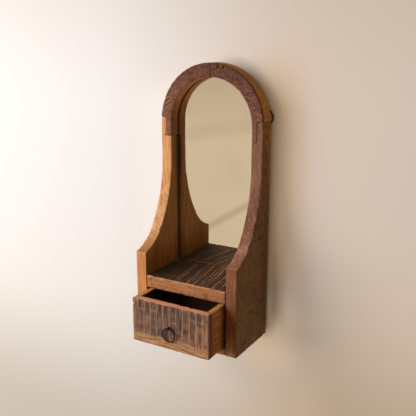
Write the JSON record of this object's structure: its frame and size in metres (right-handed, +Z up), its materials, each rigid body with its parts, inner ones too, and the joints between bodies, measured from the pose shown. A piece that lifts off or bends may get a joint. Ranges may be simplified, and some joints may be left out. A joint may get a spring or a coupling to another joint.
{
  "type": "arched wall mirror with drawer",
  "caption": "Arched wall mirror in reclaimed boards, with hollow-curved sides, a small shelf and an open-topped drawer with a ring pull below it.",
  "frame": {"origin": "centre of the case's footprint, on the underside of the base", "axes": "+X to the right seen from the front, +Y towards the wall, +Z up"},
  "size_m": [0.222, 0.188, 0.5131],
  "materials": {
    "side_wood": "worn sawn softwood, waxed",
    "arch_wood": "weathered purple-brown, waxed",
    "patch_wood": "fresh sawn softwood",
    "shelf_wood": "dark sawn face with pale saw lines",
    "drawer_wood": "grey-brown sawn face, worn edges",
    "panel_board": "plain thin board",
    "mirror": "silvered glass",
    "black_iron": "black wire, dull",
    "nail_iron": "dark nail heads",
    "zinc": "zinc sheet"
  },
  "bodies": {
    "case": {"side_left": "side_wood", "side_right": "side_wood", "arch_left": "arch_wood", "arch_right": "arch_wood", "crown_patch": "patch_wood", "crown_dowels": "patch_wood", "lap_nails": "nail_iron", "shelf": "shelf_wood", "shelf_nails": "nail_iron", "bottom_board": "side_wood", "bottom_nails": "nail_iron", "bay_back": "panel_board", "bay_back_nails": "nail_iron", "mirror_glass": "mirror", "back_panel": "panel_board", "glazing_points": "zinc", "hanger_eye_left": "black_iron", "hanger_eye_right": "black_iron"},
    "drawer": {"drawer_front": "drawer_wood", "drawer_side_left": "drawer_wood", "drawer_side_right": "drawer_wood", "drawer_back": "drawer_wood", "drawer_bottom": "panel_board", "drawer_front_nails": "nail_iron", "drawer_back_nails": "nail_iron", "drawer_bottom_brads": "nail_iron", "pull_eye": "black_iron"},
    "pull_ring": {"pull_ring": "black_iron"},
    "hanger_ring_left": {"hanger_ring_left": "black_iron"},
    "hanger_ring_right": {"hanger_ring_right": "black_iron"}
  },
  "joints": [
    {"name": "drawer_slide", "type": "slide", "parent": "case", "child": "drawer", "axis": [0, -1, 0], "range_m": [-0.051, 0.031]},
    {"name": "pull_ring_hinge", "type": "hinge", "parent": "drawer", "child": "pull_ring", "pos_m": [0, -0.116, 0.05445], "axis": [-1, 0, 0], "range_deg": [0, 170]},
    {"name": "hanger_left_hinge", "type": "hinge", "parent": "case", "child": "hanger_ring_left", "pos_m": [-0.096, 0.065, 0.43142], "axis": [1, 0, 0], "range_deg": [0, 175]},
    {"name": "hanger_right_hinge", "type": "hinge", "parent": "case", "child": "hanger_ring_right", "pos_m": [0.096, 0.065, 0.43142], "axis": [1, 0, 0], "range_deg": [0, 175]}
  ]
}
